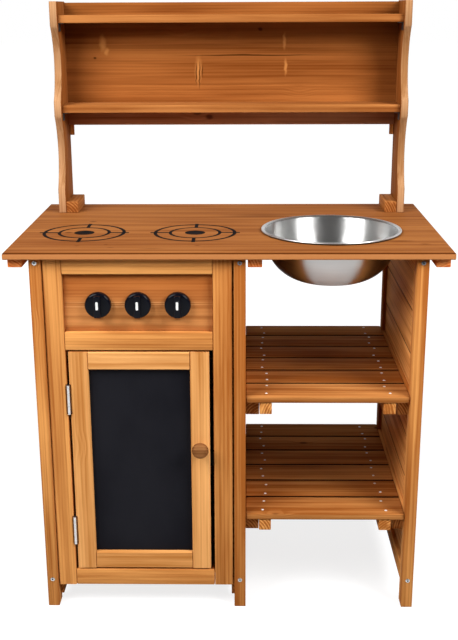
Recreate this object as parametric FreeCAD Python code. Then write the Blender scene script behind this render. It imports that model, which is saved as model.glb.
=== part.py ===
import FreeCAD, Part
import math
import os

from FreeCAD import Vector

# A child's outdoor mud kitchen in stained softwood: a worktop with a drop-in bowl on three slatted
# side panels, a cabinet with a chalkboard door, an open bay with two shelves, and a hutch on top.
# Millimetres, +Z up, +X to the right, front towards -Y, origin on the floor under the middle.

# Worktop
worktop_width = 700.0
worktop_depth = 420.0
worktop_thickness = 12.0
worktop_top_radius = 4.0
worktop_bottom_radius = 2.0
worktop_batten_width = 22.5
worktop_batten_height = 14.5
worktop_batten_end_gap = 12.0
worktop_batten_side_gap = 5.0
middle_batten_gap = 3.0

# Side panels
leg_height = 613.0
leg_width = 19.0
leg_depth = 28.0
side_overhang = 38.0
front_overhang = 10.0
cabinet_bay_share = 0.43
side_board_thickness = 13.0
side_board_count = 7
side_rail_base = 40.0
side_bottom_rail_height = 29.0
side_top_rail_height = 28.0
eased_edge = 1.5
board_chamfer = 2.0

# Leg screws
screw_radius = 2.5
screw_length = 50.0
screw_head_radius = 3.7
screw_face_radius = 2.9
screw_head_height = 1.6
screw_hole_clearance = 0.1
top_screw_drop = 7.0
low_screw_rise = 11.5

# Cabinet face frame, back and floor
face_set_back = 3.0
stile_width = 29.6
latch_stile_width = 30.5
stile_thickness = 18.0
hinge_side_gap = 1.4
rail_joint_gap = 0.6
latch_side_gap = 2.5
top_rail_height = 26.0
middle_rail_height = 30.0
bottom_rail_height = 29.0
knob_panel_height = 95.0
knob_panel_recess = 8.0
back_board_thickness = 12.0
back_board_count = 8
floor_slat_thickness = 11.0
floor_slat_count = 5
floor_slat_gap = 1.5
floor_cleat_thickness = 5.0
floor_cleat_height = 40.0
floor_cleat_base = 12.0
piece_clearance = 0.5

# Door
door_hinge_gap = 4.4
door_latch_gap = 6.6
door_end_gap = 3.0
door_thickness = 17.5
door_stile_width = 31.0
door_rail_height = 30.0
chalkboard_thickness = 4.0
chalkboard_recess = 8.0
chalkboard_groove = 5.0
groove_clearance = 0.1
door_knob_radius = 13.5
door_knob_neck_radius = 7.5
door_knob_neck_length = 7.0
door_knob_head_length = 15.0
door_knob_face_radius = 9.5
door_knob_waist_radius = 6.5
door_knob_swell_share = 0.45
door_knob_height_share = 0.576
door_screw_radius = 2.0
door_screw_depth = 12.0
door_screw_head_radius = 4.0
door_screw_head_height = 2.0
door_stop_width = 26.0
door_stop_overlap = 8.0
door_stop_thickness = 12.0
door_stop_height = 24.0

# Butt hinges
hinge_length = 50.0
hinge_barrel_radius = 2.5
hinge_barrel_proud = 1.0
hinge_pin_radius = 1.2
hinge_pin_clearance = 0.05
hinge_leaf_thickness = 1.2
hinge_leaf_depth = 16.0
hinge_knuckle_gap = 0.3
hinge_knuckle_room = 0.4
hinge_end_knuckle_share = 0.27
hinge_notch_width = 2.6
hinge_notch_depth = 6.0
hinge_notch_end_room = 1.0
hinge_from_top = 81.0
hinge_from_bottom = 71.0

# Control knobs
knob_names = ("left", "middle", "right")
knob_spacing = 63.0
knob_radius = 20.8
knob_drop = 3.0
knob_skirt_height = 11.0
knob_skirt_chamfer = 3.0
knob_grip_width = 11.0
knob_grip_height = 9.0
knob_grip_chamfer = 3.0
knob_grip_edge = 1.2
knob_grip_end_gap = 2.5
knob_panel_gap = 0.4
pointer_width = 3.8
pointer_length = 13.4
pointer_rise = 2.5
pointer_depth = 1.0
pointer_proud = 0.4
pointer_chamfer = 1.1
knob_screw_radius = 2.5
knob_screw_clearance = 0.08
knob_screw_depth = 8.0
knob_washer_radius = 6.0
knob_washer_thickness = 2.0

# Bowl
bowl_centre_share = 0.5414
bowl_width_share = 0.8459
bowl_centre_from_front = 165.0
bowl_flange_width = 5.5
bowl_bead_radius = 2.2
bowl_seat_gap = 0.2
bowl_wall_taper = 5.5
bowl_depth = 89.0
bowl_corner_radius = 75.0
bowl_wall = 1.2
bowl_hole_clearance = 1.0

# Open shelves
upper_shelf_top = 383.0
lower_shelf_top = 174.0
slat_thickness = 11.0
slat_count = 6
slat_gap = 3.6
shelf_set_back = 4.0
shelf_batten_size = 20.0
shelf_batten_inset = 22.0
shelf_batten_set_back = 2.0
shelf_cleat_width = 22.0
shelf_cleat_height = 29.0

# Hutch
upright_end_gap = 33.5
upright_thickness = 13.0
upright_depth = 90.0
upright_height = 373.0
foot_flat_height = 44.0
middle_flat_base = 174.5
middle_flat_height = 27.0
top_flat_height = 42.0
low_curve_depth = 21.0
high_curve_depth = 24.0
hutch_shelf_thickness = 13.5
hutch_shelf_set_back = 8.0
lower_shelf_rise = 180.4
top_shelf_rise = 336.0
hutch_board_count = 3
hutch_back_height = 219.0
hutch_back_drop = 2.0
hutch_board_thickness = 12.0
hutch_board_chamfer = 0.4
back_strip_thickness = 4.0
back_strip_width = 20.0
back_strip_tail = 20.0
foot_block_width = 22.0
foot_block_height = 20.0
foot_block_length = 84.0
foot_block_set_back = 2.0
bracket_reach = 9.0
bracket_drop = 14.0
bracket_width = 16.0
bracket_thickness = 1.5
bracket_set_back = 3.0

# Shared helpers
along_x = Vector(1, 0, 0)
along_y = Vector(0, 1, 0)
along_z = Vector(0, 0, 1)
full_turn = 360.0
parallel_share = 0.99
cut_overrun = 1.0


def block(xs, ys, zs):
    """A plain box between pairs of low and high places."""
    corner = Vector(xs[0], ys[0], zs[0])
    return Part.makeBox(xs[1] - xs[0], ys[1] - ys[0], zs[1] - zs[0], corner)


def edges_along(body, direction):
    """The straight edges of a body that run along a direction."""
    found = []
    for edge in body.Edges:
        if abs(edge.tangentAt(edge.FirstParameter).dot(direction)) > parallel_share:
            found.append(edge)
    return found


def plank(xs, ys, zs, grain):
    """Planed timber with its four long edges eased."""
    body = block(xs, ys, zs)
    return body.makeChamfer(eased_edge, edges_along(body, grain))


def board_stack(xs, ys, zs, count, grain, chamfer):
    """Horizontal boards edge to edge, chamfered so that each joint shows as a small V."""
    pitch = (zs[1] - zs[0]) / count
    boards = []
    for index in range(count):
        base = zs[0] + index * pitch
        board = block(xs, ys, (base, base + pitch))
        boards.append(board.makeChamfer(chamfer, edges_along(board, grain)))
    return Part.makeCompound(boards)


def slat_row(xs, ys, zs, count, gap):
    """Slats side by side from front to back, with their long edges eased."""
    width = (ys[1] - ys[0] - (count - 1) * gap) / count
    slats = []
    for index in range(count):
        front = ys[0] + index * (width + gap)
        slats.append(plank(xs, (front, front + width), zs, along_x))
    return Part.makeCompound(slats)


def rod_y(x, ys, z, radius):
    """A round rod or cutter from front to back."""
    return Part.makeCylinder(radius, ys[1] - ys[0], Vector(x, ys[0], z), along_y)


def save(name, shape):
    """Write one named piece."""
    shape.exportStep(os.path.join("parts", name + ".step"))


os.makedirs("parts", exist_ok=True)

# Main places. The door knob stands in front of the worktop, so the middle of the depth allows for it.
door_knob_length = door_knob_neck_length + door_knob_head_length
knob_reach = door_knob_length - face_set_back - front_overhang
worktop_front = (knob_reach - worktop_depth) / 2
worktop_back = worktop_front + worktop_depth
worktop_top = leg_height + worktop_thickness
worktop_right = worktop_width / 2
frame_front = worktop_front + front_overhang
frame_back = worktop_back - front_overhang
front_leg_back = frame_front + leg_depth
back_leg_front = frame_back - leg_depth
left_outer = side_overhang - worktop_right
left_inner = left_outer + leg_width
middle_left = left_inner + worktop_width * cabinet_bay_share
middle_right = middle_left + leg_width
right_outer = worktop_right - side_overhang
right_inner = right_outer - leg_width
open_bay_width = right_inner - middle_right
bowl_x = middle_right + open_bay_width * bowl_centre_share
bowl_y = worktop_front + bowl_centre_from_front
bowl_wall_top_radius = open_bay_width * bowl_width_share / 2
bowl_wall_foot_radius = bowl_wall_top_radius - bowl_wall_taper
bowl_rim_radius = bowl_wall_top_radius + bowl_flange_width

# Leg screws: socket-head furniture screws through each leg into the end grain of the two rails.
screw_heights = (side_rail_base + low_screw_rise, leg_height - top_screw_drop)
leg_screws = []


def panel_screws(centre_x):
    """Add the four screws of one side panel, and return the cutters for their holes."""
    cutters = []
    screw_hole_radius = screw_radius + screw_hole_clearance
    for height in screw_heights:
        for head_y, inward in ((frame_front, along_y), (frame_back, along_y * -1)):
            place = Vector(centre_x, head_y, height)
            shank = Part.makeCylinder(screw_radius, screw_length, place, inward)
            head = Part.makeCone(screw_head_radius, screw_face_radius, screw_head_height, place, inward * -1)
            leg_screws.append(shank.fuse(head))
            cutters.append(Part.makeCylinder(screw_hole_radius, screw_length, place, inward))
    return cutters


# Side panels: two legs, a bottom and a top rail between them, and a stack of boards between the
# rails. The boards lie flush with one face of the legs and stand back from the other.
def side_panel(name, xs, boards_on_right):
    """One side panel between two places in X."""
    cutters = panel_screws((xs[0] + xs[1]) / 2)
    legs = {"front": (frame_front, front_leg_back), "back": (back_leg_front, frame_back)}
    for end, ys in legs.items():
        leg = plank(xs, ys, (0, leg_height), along_z)
        save(name + "_" + end + "_leg", leg.cut(cutters))
    between = (front_leg_back, back_leg_front)
    boards_base = side_rail_base + side_bottom_rail_height
    boards_top = leg_height - side_top_rail_height
    low_rail = plank(xs, between, (side_rail_base, boards_base), along_y).cut(cutters)
    top_rail = plank(xs, between, (boards_top, leg_height), along_y).cut(cutters)
    save(name + "_side_rails", Part.makeCompound([low_rail, top_rail]))
    board_xs = (xs[0], xs[0] + side_board_thickness)
    if boards_on_right:
        board_xs = (xs[1] - side_board_thickness, xs[1])
    board_zs = (boards_base, boards_top)
    side_boards = board_stack(board_xs, between, board_zs, side_board_count, along_y, board_chamfer)
    save(name + "_side_boards", side_boards)


side_panel("left", (left_outer, left_inner), False)
side_panel("middle", (middle_left, middle_right), True)
side_panel("right", (right_inner, right_outer), True)
save("leg_screws", Part.makeCompound(leg_screws))

# Cabinet face frame: two stiles from the worktop down, three rails and a recessed panel for the knobs.
face_front = frame_front + face_set_back
face_back = face_front + stile_thickness
face_ys = (face_front, face_back)
face_left = left_inner + hinge_side_gap
face_right = middle_left - latch_side_gap
opening_left = face_left + stile_width
opening_right = face_right - latch_stile_width
top_rail_base = leg_height - top_rail_height
middle_rail_top = top_rail_base - knob_panel_height
middle_rail_base = middle_rail_top - middle_rail_height
bottom_rail_top = side_rail_base + bottom_rail_height

# Door places: an inset door with the hinge barrels in the gap on its left.
door_left = opening_left + door_hinge_gap
door_right = opening_right - door_latch_gap
door_base = bottom_rail_top + door_end_gap
door_top = middle_rail_base - door_end_gap
door_back = face_front + door_thickness
hinge_x = opening_left + door_hinge_gap / 2
hinge_y = face_front - hinge_barrel_proud
low_hinge_base = door_base + hinge_from_bottom - hinge_length / 2
top_hinge_base = door_top - hinge_from_top - hinge_length / 2
hinge_bases = (low_hinge_base, top_hinge_base)
notch_xs = (opening_left - hinge_notch_width, door_left + hinge_notch_width)
notch_ys = (face_front - cut_overrun, face_front + hinge_notch_depth)
hinge_notches = []
for hinge_base in hinge_bases:
    notch_zs = (hinge_base - hinge_notch_end_room, hinge_base + hinge_length + hinge_notch_end_room)
    hinge_notches.append(block(notch_xs, notch_ys, notch_zs))

stile_zs = (side_rail_base, leg_height)
left_stile = plank((face_left, opening_left), face_ys, stile_zs, along_z)
save("cabinet_left_stile", left_stile.cut(hinge_notches))
save("cabinet_right_stile", plank((opening_right, face_right), face_ys, stile_zs, along_z))
frame_rail_xs = (opening_left + rail_joint_gap, opening_right - rail_joint_gap)
save("cabinet_top_rail", plank(frame_rail_xs, face_ys, (top_rail_base, leg_height), along_x))
save("cabinet_middle_rail", plank(frame_rail_xs, face_ys, (middle_rail_base, middle_rail_top), along_x))
save("cabinet_bottom_rail", plank(frame_rail_xs, face_ys, (side_rail_base, bottom_rail_top), along_x))

# Knob panel, with a running hole for the screw of each knob.
panel_front = face_front + knob_panel_recess
panel_zs = (middle_rail_top + rail_joint_gap, top_rail_base - rail_joint_gap)
knob_z = (middle_rail_top + top_rail_base) / 2 - knob_drop
knob_middle_x = (opening_left + opening_right) / 2
knob_panel = block(frame_rail_xs, (panel_front, face_back), panel_zs)
knob_xs = []
for index in range(len(knob_names)):
    knob_xs.append(knob_middle_x + (index - 1) * knob_spacing)
panel_bore = knob_screw_radius + knob_screw_clearance
for knob_x in knob_xs:
    knob_panel = knob_panel.cut(rod_y(knob_x, (panel_front, face_back), knob_z, panel_bore))
save("knob_panel", knob_panel)

# Control knobs: a round skirt with a raised grip bar across it, a white pointer let into the bar,
# and a screw with a washer head that holds the knob from behind the panel and turns with it.
skirt_back = panel_front - knob_panel_gap
skirt_front = skirt_back - knob_skirt_height
grip_front = skirt_front - knob_grip_height
for knob_name, knob_x in zip(knob_names, knob_xs):
    skirt = rod_y(knob_x, (skirt_front, skirt_back), knob_z, knob_radius)
    front_rim = [edge for edge in skirt.Edges if edge.BoundBox.YMax < skirt_front + knob_panel_gap]
    skirt = skirt.makeChamfer(knob_skirt_chamfer, front_rim)
    grip_half = knob_grip_width / 2
    grip_reach = knob_radius - knob_grip_end_gap
    grip = block((knob_x - grip_half, knob_x + grip_half), (grip_front, skirt_back),
                 (knob_z - grip_reach, knob_z + grip_reach))
    grip = grip.makeChamfer(knob_grip_chamfer, edges_along(grip, along_y))
    grip_edges = [edge for edge in grip.Edges if edge.BoundBox.YMax < grip_front + knob_panel_gap]
    grip = grip.makeChamfer(knob_grip_edge, grip_edges)
    pointer_half = pointer_width / 2
    pointer_base = knob_z + pointer_rise - pointer_length / 2
    pointer = block((knob_x - pointer_half, knob_x + pointer_half),
                    (grip_front - pointer_proud, grip_front + pointer_depth),
                    (pointer_base, pointer_base + pointer_length))
    pointer = pointer.makeChamfer(pointer_chamfer, edges_along(pointer, along_y))
    screw_tip = skirt_back - knob_screw_depth
    washer_front = face_back + knob_panel_gap
    screw = rod_y(knob_x, (screw_tip, washer_front), knob_z, knob_screw_radius)
    washer = rod_y(knob_x, (washer_front, washer_front + knob_washer_thickness), knob_z, knob_washer_radius)
    knob = skirt.fuse(grip).removeSplitter().cut([pointer, screw])
    save("control_knob_" + knob_name, knob)
    save("knob_pointer_" + knob_name, pointer)
    save("knob_screw_" + knob_name, screw.fuse(washer))

# Hinges: each has a frame leaf with a knuckle at both ends, a door leaf with the knuckle between
# them, and a pin. The leaves lie flat against the stile's and the door's edges behind the barrel.
def knuckle(base, height):
    """A solid round length of the hinge barrel."""
    return Part.makeCylinder(hinge_barrel_radius, height, Vector(hinge_x, hinge_y, base), along_z)


def leaf_plate(xs, base):
    """The flat plate of one leaf, from the barrel's axis back into the gap."""
    return block(xs, (hinge_y, hinge_y + hinge_leaf_depth), (base, base + hinge_length))


frame_leaf_xs = (opening_left, opening_left + hinge_leaf_thickness)
door_leaf_xs = (door_left - hinge_leaf_thickness, door_left)
end_length = hinge_length * hinge_end_knuckle_share
frame_leaves = []
door_leaves = []
hinge_pins = []
for hinge_base in hinge_bases:
    hinge_top = hinge_base + hinge_length
    pin_bore_radius = hinge_pin_radius + hinge_pin_clearance
    pin_place = Vector(hinge_x, hinge_y, hinge_base)
    pin_bore = Part.makeCylinder(pin_bore_radius, hinge_length, pin_place, along_z)
    low_knuckle = knuckle(hinge_base, end_length)
    top_knuckle = knuckle(hinge_top - end_length, end_length)
    door_knuckle_base = hinge_base + end_length + hinge_knuckle_gap
    door_knuckle_height = hinge_length - (end_length + hinge_knuckle_gap) * 2
    room_radius = hinge_barrel_radius + hinge_knuckle_room
    room_place = Vector(hinge_x, hinge_y, hinge_base + end_length)
    room_for_door = Part.makeCylinder(room_radius, hinge_length - end_length * 2, room_place, along_z)
    rooms_for_frame = []
    for room_base in (hinge_base, hinge_top - end_length - hinge_knuckle_gap):
        place = Vector(hinge_x, hinge_y, room_base)
        room_height = end_length + hinge_knuckle_gap
        rooms_for_frame.append(Part.makeCylinder(room_radius, room_height, place, along_z))
    frame_plate = leaf_plate(frame_leaf_xs, hinge_base).cut(room_for_door)
    frame_leaves.append(frame_plate.fuse([low_knuckle, top_knuckle]).cut(pin_bore).removeSplitter())
    door_plate = leaf_plate(door_leaf_xs, hinge_base).cut(rooms_for_frame)
    door_barrel = knuckle(door_knuckle_base, door_knuckle_height)
    door_leaves.append(door_plate.fuse(door_barrel).cut(pin_bore).removeSplitter())
    hinge_pins.append(Part.makeCylinder(hinge_pin_radius, hinge_length, pin_place, along_z))
save("frame_hinge_leaves", Part.makeCompound(frame_leaves))
save("door_hinge_leaves", Part.makeCompound(door_leaves))
save("hinge_pins", Part.makeCompound(hinge_pins))

# Door: two stiles with two rails between them, grooved all round for the chalkboard, which lies
# back from the face, and a turned knob held by a screw from inside.
door_ys = (face_front, door_back)
door_zs = (door_base, door_top)
board_left = door_left + door_stile_width
board_right = door_right - door_stile_width
board_base = door_base + door_rail_height
board_top = door_top - door_rail_height
board_front = face_front + chalkboard_recess
board_back = board_front + chalkboard_thickness
chalkboard = block((board_left - chalkboard_groove, board_right + chalkboard_groove),
                   (board_front, board_back),
                   (board_base - chalkboard_groove, board_top + chalkboard_groove))
groove_side = chalkboard_groove + groove_clearance
groove = block((board_left - groove_side, board_right + groove_side),
               (board_front - groove_clearance, board_back + groove_clearance),
               (board_base - groove_side, board_top + groove_side))
save("chalkboard", chalkboard)
door_knob_x = door_right - door_stile_width / 2
door_knob_z = door_base + (door_top - door_base) * door_knob_height_share
door_knob_screw_hole = rod_y(door_knob_x, door_ys, door_knob_z, door_screw_radius)
door_left_stile = plank((door_left, board_left), door_ys, door_zs, along_z)
save("door_left_stile", door_left_stile.cut([groove] + hinge_notches))
door_right_stile = plank((board_right, door_right), door_ys, door_zs, along_z)
save("door_right_stile", door_right_stile.cut([groove, door_knob_screw_hole]))
door_rail_xs = (board_left + rail_joint_gap, board_right - rail_joint_gap)
save("door_bottom_rail", plank(door_rail_xs, door_ys, (door_base, board_base), along_x).cut(groove))
save("door_top_rail", plank(door_rail_xs, door_ys, (board_top, door_top), along_x).cut(groove))

# Door knob, turned from a neck to a swelling head with a flat face.
knob_neck_front = face_front - door_knob_neck_length
knob_face = face_front - door_knob_length
knob_swell = knob_neck_front - door_knob_head_length * door_knob_swell_share
axis_back = Vector(door_knob_x, face_front, door_knob_z)
axis_face = Vector(door_knob_x, knob_face, door_knob_z)
neck_foot = axis_back + along_x * door_knob_neck_radius
neck_waist = Vector(door_knob_x + door_knob_waist_radius, (face_front + knob_neck_front) / 2, door_knob_z)
neck_end = Vector(door_knob_x + door_knob_neck_radius, knob_neck_front, door_knob_z)
swell = Vector(door_knob_x + door_knob_radius, knob_swell, door_knob_z)
face_edge = axis_face + along_x * door_knob_face_radius
knob_outline = [Part.LineSegment(axis_back, neck_foot).toShape(),
                Part.Arc(neck_foot, neck_waist, neck_end).toShape(),
                Part.Arc(neck_end, swell, face_edge).toShape(),
                Part.LineSegment(face_edge, axis_face).toShape(),
                Part.LineSegment(axis_face, axis_back).toShape()]
door_knob = Part.Face(Part.Wire(knob_outline)).revolve(axis_back, along_y, full_turn)
door_screw = rod_y(door_knob_x, (face_front - door_screw_depth, door_back), door_knob_z, door_screw_radius)
door_screw_head_ys = (door_back, door_back + door_screw_head_height)
door_screw_head = rod_y(door_knob_x, door_screw_head_ys, door_knob_z, door_screw_head_radius)
save("door_knob", door_knob.cut(door_screw))
save("door_knob_screw", door_screw.fuse(door_screw_head))

# Door stop: a block behind the right stile that the door's free edge closes against.
stop_right = opening_right + door_stop_width - door_stop_overlap - door_latch_gap
stop_base = (door_base + door_top - door_stop_height) / 2
stop_xs = (stop_right - door_stop_width, stop_right)
stop_ys = (face_back, face_back + door_stop_thickness)
save("door_stop", plank(stop_xs, stop_ys, (stop_base, stop_base + door_stop_height), along_z))

# Cabinet back and floor: boards between the back legs, and slats on a cleat along each side panel.
back_board_front = frame_back - back_board_thickness
cabinet_xs = (left_inner, middle_left)
back_zs = (side_rail_base, leg_height)
back_ys = (back_board_front, frame_back)
cabinet_back = board_stack(cabinet_xs, back_ys, back_zs, back_board_count, along_x, board_chamfer)
save("cabinet_back_boards", cabinet_back)
cleat_ys = (face_back, back_board_front)
cleat_zs = (floor_cleat_base, floor_cleat_base + floor_cleat_height)
left_cleat = plank((left_inner, left_inner + floor_cleat_thickness), cleat_ys, cleat_zs, along_y)
right_cleat = plank((middle_left - floor_cleat_thickness, middle_left), cleat_ys, cleat_zs, along_y)
save("cabinet_floor_cleats", Part.makeCompound([left_cleat, right_cleat]))
floor_base = floor_cleat_base + floor_cleat_height
save("cabinet_floor_slats", slat_row((left_inner + piece_clearance, middle_left - piece_clearance),
                                     (face_back + piece_clearance, back_board_front - piece_clearance),
                                     (floor_base, floor_base + floor_slat_thickness),
                                     floor_slat_count, floor_slat_gap))

# Worktop: one glued panel with rounded edges and a round hole for the bowl.
worktop_xs = (worktop_right - worktop_width, worktop_right)
worktop = block(worktop_xs, (worktop_front, worktop_back), (leg_height, worktop_top))
middle_z = (leg_height + worktop_top) / 2
top_edges = [edge for edge in worktop.Edges if edge.BoundBox.ZMin > middle_z]
worktop = worktop.makeFillet(worktop_top_radius, top_edges)
bottom_edges = [edge for edge in worktop.Edges if edge.BoundBox.ZMax < leg_height + worktop_bottom_radius]
worktop = worktop.makeFillet(worktop_bottom_radius, bottom_edges)
hole_radius = bowl_wall_top_radius + bowl_hole_clearance
hole = Part.makeCylinder(hole_radius, worktop_thickness, Vector(bowl_x, bowl_y, leg_height), along_z)
save("worktop", worktop.cut(hole))

# Worktop battens: one under each end and one beside the middle panel.
batten_lefts = (worktop_xs[0] + worktop_batten_side_gap,
                middle_right + middle_batten_gap,
                worktop_right - worktop_batten_side_gap - worktop_batten_width)
worktop_batten_ys = (worktop_front + worktop_batten_end_gap, worktop_back - worktop_batten_end_gap)
worktop_batten_zs = (leg_height - worktop_batten_height, leg_height)
worktop_battens = []
for batten_left in batten_lefts:
    batten_xs = (batten_left, batten_left + worktop_batten_width)
    worktop_battens.append(plank(batten_xs, worktop_batten_ys, worktop_batten_zs, along_y))
save("worktop_battens", Part.makeCompound(worktop_battens))

# Bowl: a pressed shell with a tapered wall, a wide rounded foot and a flange that ends in a rolled bead.
bead_z = worktop_top + bowl_seat_gap + bowl_bead_radius
bead_ring_radius = bowl_rim_radius - bowl_bead_radius
flange_top = bead_z + bowl_wall / 2
flange_base = flange_top - bowl_wall
bowl_base = bead_z + bowl_bead_radius - bowl_depth


def bowl_point(radius, z):
    """A place on the bowl's section, to the right of its axis."""
    return Vector(bowl_x + radius, bowl_y, z)


def bowl_skin(top_radius, foot_radius, base, top, corner_radius):
    """One skin of the bowl's section, from its axis up to the flange: flat, rounded corner, tapered wall."""
    corner = bowl_point(foot_radius, base)
    rim = bowl_point(top_radius, top)
    up_wall = (rim - corner).normalize()
    inward = along_x * -1
    half_angle = up_wall.getAngle(inward) / 2
    tangent_length = corner_radius / math.tan(half_angle)
    to_arc = corner_radius / math.sin(half_angle) - corner_radius
    arc_start = corner + inward * tangent_length
    arc_middle = corner + (inward + up_wall).normalize() * to_arc
    arc_end = corner + up_wall * tangent_length
    return [Part.LineSegment(bowl_point(0, base), arc_start).toShape(),
            Part.Arc(arc_start, arc_middle, arc_end).toShape(),
            Part.LineSegment(arc_end, rim).toShape()]


inner_top_radius = bowl_wall_top_radius - bowl_wall
inner_foot_radius = bowl_wall_foot_radius - bowl_wall
bead_inner = bowl_point(bead_ring_radius - bowl_bead_radius, flange_base)
bead_low = bowl_point(bead_ring_radius, bead_z - bowl_bead_radius)
bead_far = bowl_point(bead_ring_radius + bowl_bead_radius, bead_z)
bead_high = bowl_point(bead_ring_radius, bead_z + bowl_bead_radius)
bowl_section = bowl_skin(bowl_wall_top_radius, bowl_wall_foot_radius, bowl_base, flange_base,
                         bowl_corner_radius)
bowl_section += [Part.LineSegment(bowl_point(bowl_wall_top_radius, flange_base), bead_inner).toShape(),
                 Part.LineSegment(bead_inner, bead_low).toShape(),
                 Part.Arc(bead_low, bead_far, bead_high).toShape(),
                 Part.LineSegment(bead_high, bowl_point(inner_top_radius, flange_top)).toShape()]
bowl_section += bowl_skin(inner_top_radius, inner_foot_radius, bowl_base + bowl_wall, flange_top,
                          bowl_corner_radius - bowl_wall)
floor_line = Part.LineSegment(bowl_point(0, bowl_base), bowl_point(0, bowl_base + bowl_wall))
bowl_section.append(floor_line.toShape())
bowl_face = Part.Face(Part.Wire(Part.__sortEdges__(bowl_section)))
save("sink_bowl", bowl_face.revolve(bowl_point(0, bowl_base), along_z, full_turn))

# Open shelves: six slats nailed to two battens, resting on a cleat along each panel. A strip fills the
# right cleat beside the slat ends.
shelf_ys = (frame_front + shelf_set_back, frame_back - piece_clearance)
shelf_xs = (middle_right + piece_clearance, right_inner - piece_clearance)
board_face = right_outer - side_board_thickness
shelf_battens = []
shelf_cleats = []
shelf_strips = []
for shelf_name, shelf_top in (("upper", upper_shelf_top), ("lower", lower_shelf_top)):
    slat_base = shelf_top - slat_thickness
    slats = slat_row(shelf_xs, shelf_ys, (slat_base, shelf_top), slat_count, slat_gap)
    save(shelf_name + "_shelf_slats", slats)
    batten_ys = (shelf_ys[0] + shelf_batten_set_back, shelf_ys[1] - shelf_batten_set_back)
    batten_zs = (slat_base - shelf_batten_size, slat_base)
    left_start = shelf_xs[0] + shelf_batten_inset
    right_start = shelf_xs[1] - shelf_batten_inset - shelf_batten_size
    for start in (left_start, right_start):
        shelf_battens.append(plank((start, start + shelf_batten_size), batten_ys, batten_zs, along_y))
    shelf_cleat_ys = (front_leg_back, back_leg_front)
    shelf_cleat_zs = (slat_base - shelf_cleat_height, slat_base)
    middle_cleat_xs = (middle_right, middle_right + shelf_cleat_width)
    right_cleat_xs = (board_face - shelf_cleat_width, board_face)
    for cleat_xs in (middle_cleat_xs, right_cleat_xs):
        shelf_cleats.append(plank(cleat_xs, shelf_cleat_ys, shelf_cleat_zs, along_y))
    shelf_strips.append(plank((right_inner, board_face), shelf_cleat_ys, (slat_base, shelf_top), along_y))
save("shelf_battens", Part.makeCompound(shelf_battens))
save("shelf_cleats", Part.makeCompound(shelf_cleats))
save("shelf_side_strips", Part.makeCompound(shelf_strips))

# Hutch uprights: S-curved boards, with a flat at the foot, at the lower shelf and at the top, and a
# hollow between each pair of flats.
upright_back = worktop_back - back_strip_thickness
upright_front = upright_back - upright_depth
upright_outer = worktop_right - upright_end_gap
upright_inner = upright_outer - upright_thickness
hutch_top = worktop_top + upright_height


def upright(outer_x):
    """One upright, from its outline in the side view."""
    def place(y, rise):
        return Vector(outer_x, y, worktop_top + rise)

    middle_flat_top = middle_flat_base + middle_flat_height
    top_flat_base = upright_height - top_flat_height
    low_hollow = place(upright_front + low_curve_depth, (foot_flat_height + middle_flat_base) / 2)
    high_hollow = place(upright_front + high_curve_depth, (middle_flat_top + top_flat_base) / 2)
    back_foot = place(upright_back, 0)
    front_foot = place(upright_front, 0)
    foot_flat_end = place(upright_front, foot_flat_height)
    middle_flat_start = place(upright_front, middle_flat_base)
    middle_flat_end = place(upright_front, middle_flat_top)
    top_flat_start = place(upright_front, top_flat_base)
    front_top = place(upright_front, upright_height)
    back_top = place(upright_back, upright_height)
    outline = [Part.LineSegment(back_foot, front_foot).toShape(),
               Part.LineSegment(front_foot, foot_flat_end).toShape(),
               Part.Arc(foot_flat_end, low_hollow, middle_flat_start).toShape(),
               Part.LineSegment(middle_flat_start, middle_flat_end).toShape(),
               Part.Arc(middle_flat_end, high_hollow, top_flat_start).toShape(),
               Part.LineSegment(top_flat_start, front_top).toShape(),
               Part.LineSegment(front_top, back_top).toShape(),
               Part.LineSegment(back_top, back_foot).toShape()]
    return Part.Face(Part.Wire(outline)).extrude(along_x * upright_thickness)


save("hutch_left_upright", upright(-upright_outer))
save("hutch_right_upright", upright(upright_inner))

# Hutch back: boards between the uprights, held by a strip behind each end that laps the upright.
hutch_xs = (-upright_inner, upright_inner)
back_top = hutch_top - hutch_back_drop
back_base = back_top - hutch_back_height
hutch_board_front = upright_back - hutch_board_thickness
hutch_back = board_stack(hutch_xs, (hutch_board_front, upright_back), (back_base, back_top),
                         hutch_board_count, along_x, hutch_board_chamfer)
save("hutch_back_boards", hutch_back)
strip_ys = (upright_back, worktop_back)
strip_zs = (back_base - back_strip_tail, back_top)
left_strip = block((-upright_outer, back_strip_width - upright_outer), strip_ys, strip_zs)
right_strip = block((upright_outer - back_strip_width, upright_outer), strip_ys, strip_zs)
save("hutch_back_strips", Part.makeCompound([left_strip, right_strip]))

# Hutch shelves: boards between the uprights, up to the back, each on two angle brackets.
hutch_shelf_front = upright_front + hutch_shelf_set_back
brackets = []
for shelf_name, shelf_rise in (("lower", lower_shelf_rise), ("top", top_shelf_rise)):
    shelf_base = worktop_top + shelf_rise
    shelf_zs = (shelf_base, shelf_base + hutch_shelf_thickness)
    shelf = plank(hutch_xs, (hutch_shelf_front, hutch_board_front), shelf_zs, along_x)
    save("hutch_" + shelf_name + "_shelf", shelf)
    bracket_front = hutch_shelf_front + bracket_set_back
    bracket_ys = (bracket_front, bracket_front + bracket_width)
    for side in (-1, 1):
        wall = side * upright_inner
        wall_xs = sorted((wall, wall - side * bracket_thickness))
        reach_xs = sorted((wall, wall - side * bracket_reach))
        hanging = block(wall_xs, bracket_ys, (shelf_base - bracket_drop, shelf_base))
        lying = block(reach_xs, bracket_ys, (shelf_base - bracket_thickness, shelf_base))
        brackets.append(hanging.fuse(lying).removeSplitter())
save("hutch_shelf_brackets", Part.makeCompound(brackets))

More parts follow.
